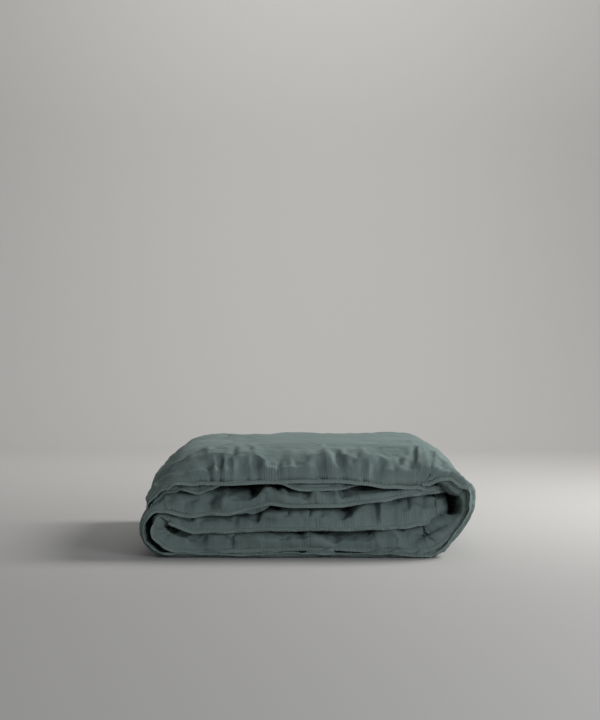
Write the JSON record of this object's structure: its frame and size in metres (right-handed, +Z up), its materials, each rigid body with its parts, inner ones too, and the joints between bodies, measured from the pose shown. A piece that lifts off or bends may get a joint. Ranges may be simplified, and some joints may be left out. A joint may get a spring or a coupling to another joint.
{
  "type": "folded duvet",
  "caption": "Filled duvet in a buttoned cotton cover, folded in half along its length and rolled flat in three turns, resting on its bottom turn.",
  "frame": {"origin": "middle of the footprint, on the surface that the folded duvet rests on", "axes": "+X across the roll, towards the right fold seen from the sewn edges; +Y from the sewn edges to the lengthwise fold; +Z up"},
  "size_m": [0.646, 0.69, 0.212],
  "materials": {
    "cover_cotton": "matte",
    "casing_cotton": "matte",
    "filling": "matte",
    "cotton_tape": "matte",
    "label_cloth": "matte",
    "button": "satin"
  },
  "bodies": {
    "pack": {"button_inner_1": "button", "button_inner_2": "button", "button_inner_3": "button", "button_outer_1": "button", "button_outer_2": "button", "button_outer_3": "button", "care_label": "label_cloth", "corner_tie_foot_inner": "cotton_tape", "corner_tie_foot_outer": "cotton_tape", "cover_back_bottom": "cover_cotton", "cover_back_left_wrap": "cover_cotton", "cover_back_middle": "cover_cotton", "cover_face_bottom": "cover_cotton", "cover_face_left_wrap": "cover_cotton", "cover_face_middle": "cover_cotton", "insert_binding_foot": "casing_cotton", "insert_casing_bottom": "casing_cotton", "insert_casing_left_wrap": "casing_cotton", "insert_casing_middle": "casing_cotton", "insert_filling_bottom": "filling", "insert_filling_left_wrap": "filling", "insert_filling_middle": "filling", "placket_button_side": "cover_cotton", "placket_buttonhole_side": "cover_cotton"},
    "right_wrap": {"cover_back_right_wrap": "cover_cotton", "cover_face_right_wrap": "cover_cotton", "insert_casing_right_wrap": "casing_cotton", "insert_filling_right_wrap": "filling"},
    "top_flap": {"corner_tie_head_inner": "cotton_tape", "corner_tie_head_outer": "cotton_tape", "cover_back_top_flap": "cover_cotton", "cover_end_hem": "cover_cotton", "cover_face_top_flap": "cover_cotton", "insert_binding_head": "casing_cotton", "insert_casing_top_flap": "casing_cotton", "insert_filling_top_flap": "filling"}
  },
  "joints": [
    {"name": "right_fold", "type": "hinge", "parent": "pack", "child": "right_wrap", "pos_m": [0.271, 0, 0.0142], "axis": [0, 1, 0], "range_deg": [0, 55]},
    {"name": "flap_fold", "type": "hinge", "parent": "right_wrap", "child": "top_flap", "pos_m": [0.3098, 0, 0.159], "axis": [0, 1, 0], "range_deg": [0, 125]}
  ],
  "couplings": [
    {"joint": "flap_fold", "follows": "right_fold", "ratio": 2.2726}
  ]
}
